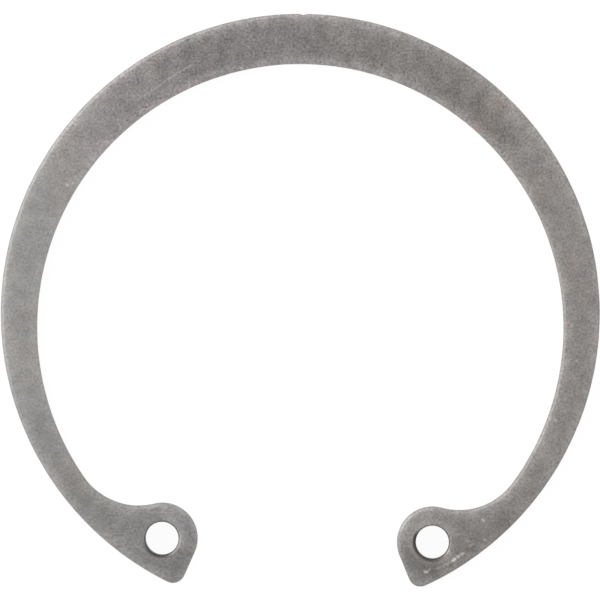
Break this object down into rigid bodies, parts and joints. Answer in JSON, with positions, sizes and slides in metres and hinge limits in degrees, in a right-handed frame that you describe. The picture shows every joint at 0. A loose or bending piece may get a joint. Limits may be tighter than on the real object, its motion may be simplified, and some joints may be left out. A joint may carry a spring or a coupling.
{
  "type": "internal retaining ring",
  "caption": "Open flat ring of spring steel for the groove of a bore, with a tapered beam and a lug with a plier hole at each end.",
  "frame": {"origin": "centre of the outer rim's circle, half way through the steel", "axes": "+Z along the ring's axis, -Y through the middle of the gap between the lugs, +X across the ring"},
  "size_m": [0.0542, 0.0517, 0.002],
  "materials": {
    "spring_steel": "matte grey, tumbled, unpolished"
  },
  "bodies": {
    "root": {"retaining_ring": "spring_steel"}
  },
  "joints": []
}
